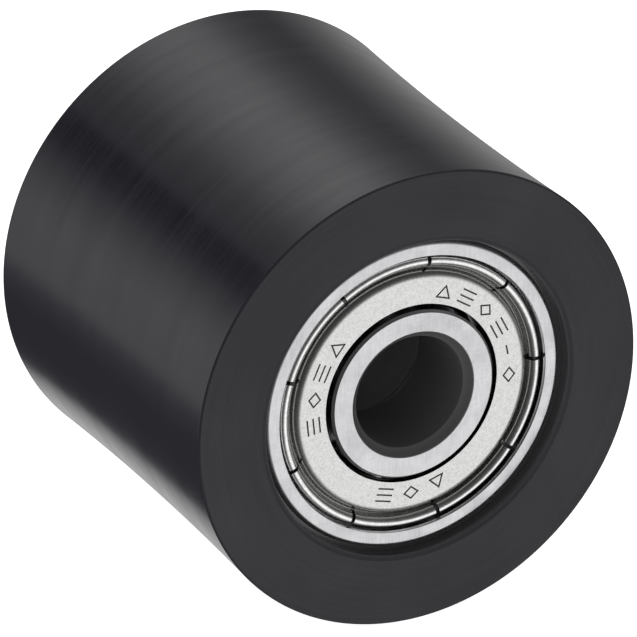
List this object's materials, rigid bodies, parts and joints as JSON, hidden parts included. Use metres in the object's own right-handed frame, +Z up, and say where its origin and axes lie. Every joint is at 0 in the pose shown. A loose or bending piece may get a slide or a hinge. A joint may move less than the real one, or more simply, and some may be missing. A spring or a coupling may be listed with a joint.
{
  "type": "cam follower roller",
  "caption": "Black plastic roller with a shallow waist that runs on a shielded ball bearing recessed in each end, for bolting to a lever as a cam follower or guide roller.",
  "frame": {"origin": "on the roller's axis at mid-width", "axes": "+Y along the roller's axis from the pictured front end to the rear end, +Z up, +X to the right seen from the front"},
  "size_m": [0.0326, 0.0288, 0.0326],
  "materials": {
    "black_plastic": "fine-turned black engineering plastic, satin side and matte end faces",
    "ground_steel": "finely ground bearing steel with faint circular scratches",
    "shield_steel": "pressed steel with a fine grained satin face and a bright curled rim",
    "ball_steel": "polished bearing balls",
    "cage_steel": "cold-rolled strip, pressed",
    "rivet_steel": "headed steel wire",
    "spacer_steel": "drawn steel tube with a dark oxide skin and turned ends"
  },
  "bodies": {
    "core": {"inner_ring_front": "ground_steel", "inner_ring_rear": "ground_steel", "spacer_tube": "spacer_steel"},
    "roller": {"roller_sleeve": "black_plastic", "outer_ring_front": "ground_steel", "outer_ring_rear": "ground_steel", "shield_front": "shield_steel", "shield_rear": "shield_steel"},
    "cage_front": {"cage_front_outer": "cage_steel", "cage_front_inner": "cage_steel", "rivet_front_1": "rivet_steel", "rivet_front_2": "rivet_steel", "rivet_front_3": "rivet_steel", "rivet_front_4": "rivet_steel", "rivet_front_5": "rivet_steel", "rivet_front_6": "rivet_steel", "rivet_front_7": "rivet_steel"},
    "ball_front_1": {"ball_front_1": "ball_steel"},
    "ball_front_2": {"ball_front_2": "ball_steel"},
    "ball_front_3": {"ball_front_3": "ball_steel"},
    "ball_front_4": {"ball_front_4": "ball_steel"},
    "ball_front_5": {"ball_front_5": "ball_steel"},
    "ball_front_6": {"ball_front_6": "ball_steel"},
    "ball_front_7": {"ball_front_7": "ball_steel"},
    "cage_rear": {"cage_rear_outer": "cage_steel", "cage_rear_inner": "cage_steel", "rivet_rear_1": "rivet_steel", "rivet_rear_2": "rivet_steel", "rivet_rear_3": "rivet_steel", "rivet_rear_4": "rivet_steel", "rivet_rear_5": "rivet_steel", "rivet_rear_6": "rivet_steel", "rivet_rear_7": "rivet_steel"},
    "ball_rear_1": {"ball_rear_1": "ball_steel"},
    "ball_rear_2": {"ball_rear_2": "ball_steel"},
    "ball_rear_3": {"ball_rear_3": "ball_steel"},
    "ball_rear_4": {"ball_rear_4": "ball_steel"},
    "ball_rear_5": {"ball_rear_5": "ball_steel"},
    "ball_rear_6": {"ball_rear_6": "ball_steel"},
    "ball_rear_7": {"ball_rear_7": "ball_steel"}
  },
  "joints": [
    {"name": "roller_spin", "type": "hinge", "parent": "core", "child": "roller", "pos_m": [0, 0, 0], "axis": [0, 1, 0], "continuous": true},
    {"name": "cage_front_spin", "type": "hinge", "parent": "core", "child": "cage_front", "pos_m": [0, -0.01015, 0], "axis": [0, 1, 0], "continuous": true},
    {"name": "ball_front_1_spin", "type": "hinge", "parent": "cage_front", "child": "ball_front_1", "pos_m": [0.0075, -0.01015, 0], "axis": [0, 1, 0], "continuous": true},
    {"name": "ball_front_2_spin", "type": "hinge", "parent": "cage_front", "child": "ball_front_2", "pos_m": [0.00468, -0.01015, 0.00586], "axis": [0, 1, 0], "continuous": true},
    {"name": "ball_front_3_spin", "type": "hinge", "parent": "cage_front", "child": "ball_front_3", "pos_m": [-0.00167, -0.01015, 0.00731], "axis": [0, 1, 0], "continuous": true},
    {"name": "ball_front_4_spin", "type": "hinge", "parent": "cage_front", "child": "ball_front_4", "pos_m": [-0.00676, -0.01015, 0.00325], "axis": [0, 1, 0], "continuous": true},
    {"name": "ball_front_5_spin", "type": "hinge", "parent": "cage_front", "child": "ball_front_5", "pos_m": [-0.00676, -0.01015, -0.00325], "axis": [0, 1, 0], "continuous": true},
    {"name": "ball_front_6_spin", "type": "hinge", "parent": "cage_front", "child": "ball_front_6", "pos_m": [-0.00167, -0.01015, -0.00731], "axis": [0, 1, 0], "continuous": true},
    {"name": "ball_front_7_spin", "type": "hinge", "parent": "cage_front", "child": "ball_front_7", "pos_m": [0.00468, -0.01015, -0.00586], "axis": [0, 1, 0], "continuous": true},
    {"name": "cage_rear_spin", "type": "hinge", "parent": "core", "child": "cage_rear", "pos_m": [0, 0.01015, 0], "axis": [0, 1, 0], "continuous": true},
    {"name": "ball_rear_1_spin", "type": "hinge", "parent": "cage_rear", "child": "ball_rear_1", "pos_m": [0.0075, 0.01015, 0], "axis": [0, 1, 0], "continuous": true},
    {"name": "ball_rear_2_spin", "type": "hinge", "parent": "cage_rear", "child": "ball_rear_2", "pos_m": [0.00468, 0.01015, -0.00586], "axis": [0, 1, 0], "continuous": true},
    {"name": "ball_rear_3_spin", "type": "hinge", "parent": "cage_rear", "child": "ball_rear_3", "pos_m": [-0.00167, 0.01015, -0.00731], "axis": [0, 1, 0], "continuous": true},
    {"name": "ball_rear_4_spin", "type": "hinge", "parent": "cage_rear", "child": "ball_rear_4", "pos_m": [-0.00676, 0.01015, -0.00325], "axis": [0, 1, 0], "continuous": true},
    {"name": "ball_rear_5_spin", "type": "hinge", "parent": "cage_rear", "child": "ball_rear_5", "pos_m": [-0.00676, 0.01015, 0.00325], "axis": [0, 1, 0], "continuous": true},
    {"name": "ball_rear_6_spin", "type": "hinge", "parent": "cage_rear", "child": "ball_rear_6", "pos_m": [-0.00167, 0.01015, 0.00731], "axis": [0, 1, 0], "continuous": true},
    {"name": "ball_rear_7_spin", "type": "hinge", "parent": "cage_rear", "child": "ball_rear_7", "pos_m": [0.00468, 0.01015, 0.00586], "axis": [0, 1, 0], "continuous": true}
  ],
  "couplings": [
    {"joint": "cage_front_spin", "follows": "roller_spin", "ratio": 0.6323},
    {"joint": "ball_front_1_spin", "follows": "roller_spin", "ratio": 1.7573},
    {"joint": "ball_front_2_spin", "follows": "roller_spin", "ratio": 1.7573},
    {"joint": "ball_front_3_spin", "follows": "roller_spin", "ratio": 1.7573},
    {"joint": "ball_front_4_spin", "follows": "roller_spin", "ratio": 1.7573},
    {"joint": "ball_front_5_spin", "follows": "roller_spin", "ratio": 1.7573},
    {"joint": "ball_front_6_spin", "follows": "roller_spin", "ratio": 1.7573},
    {"joint": "ball_front_7_spin", "follows": "roller_spin", "ratio": 1.7573},
    {"joint": "cage_rear_spin", "follows": "roller_spin", "ratio": 0.6323},
    {"joint": "ball_rear_1_spin", "follows": "roller_spin", "ratio": 1.7573},
    {"joint": "ball_rear_2_spin", "follows": "roller_spin", "ratio": 1.7573},
    {"joint": "ball_rear_3_spin", "follows": "roller_spin", "ratio": 1.7573},
    {"joint": "ball_rear_4_spin", "follows": "roller_spin", "ratio": 1.7573},
    {"joint": "ball_rear_5_spin", "follows": "roller_spin", "ratio": 1.7573},
    {"joint": "ball_rear_6_spin", "follows": "roller_spin", "ratio": 1.7573},
    {"joint": "ball_rear_7_spin", "follows": "roller_spin", "ratio": 1.7573}
  ]
}
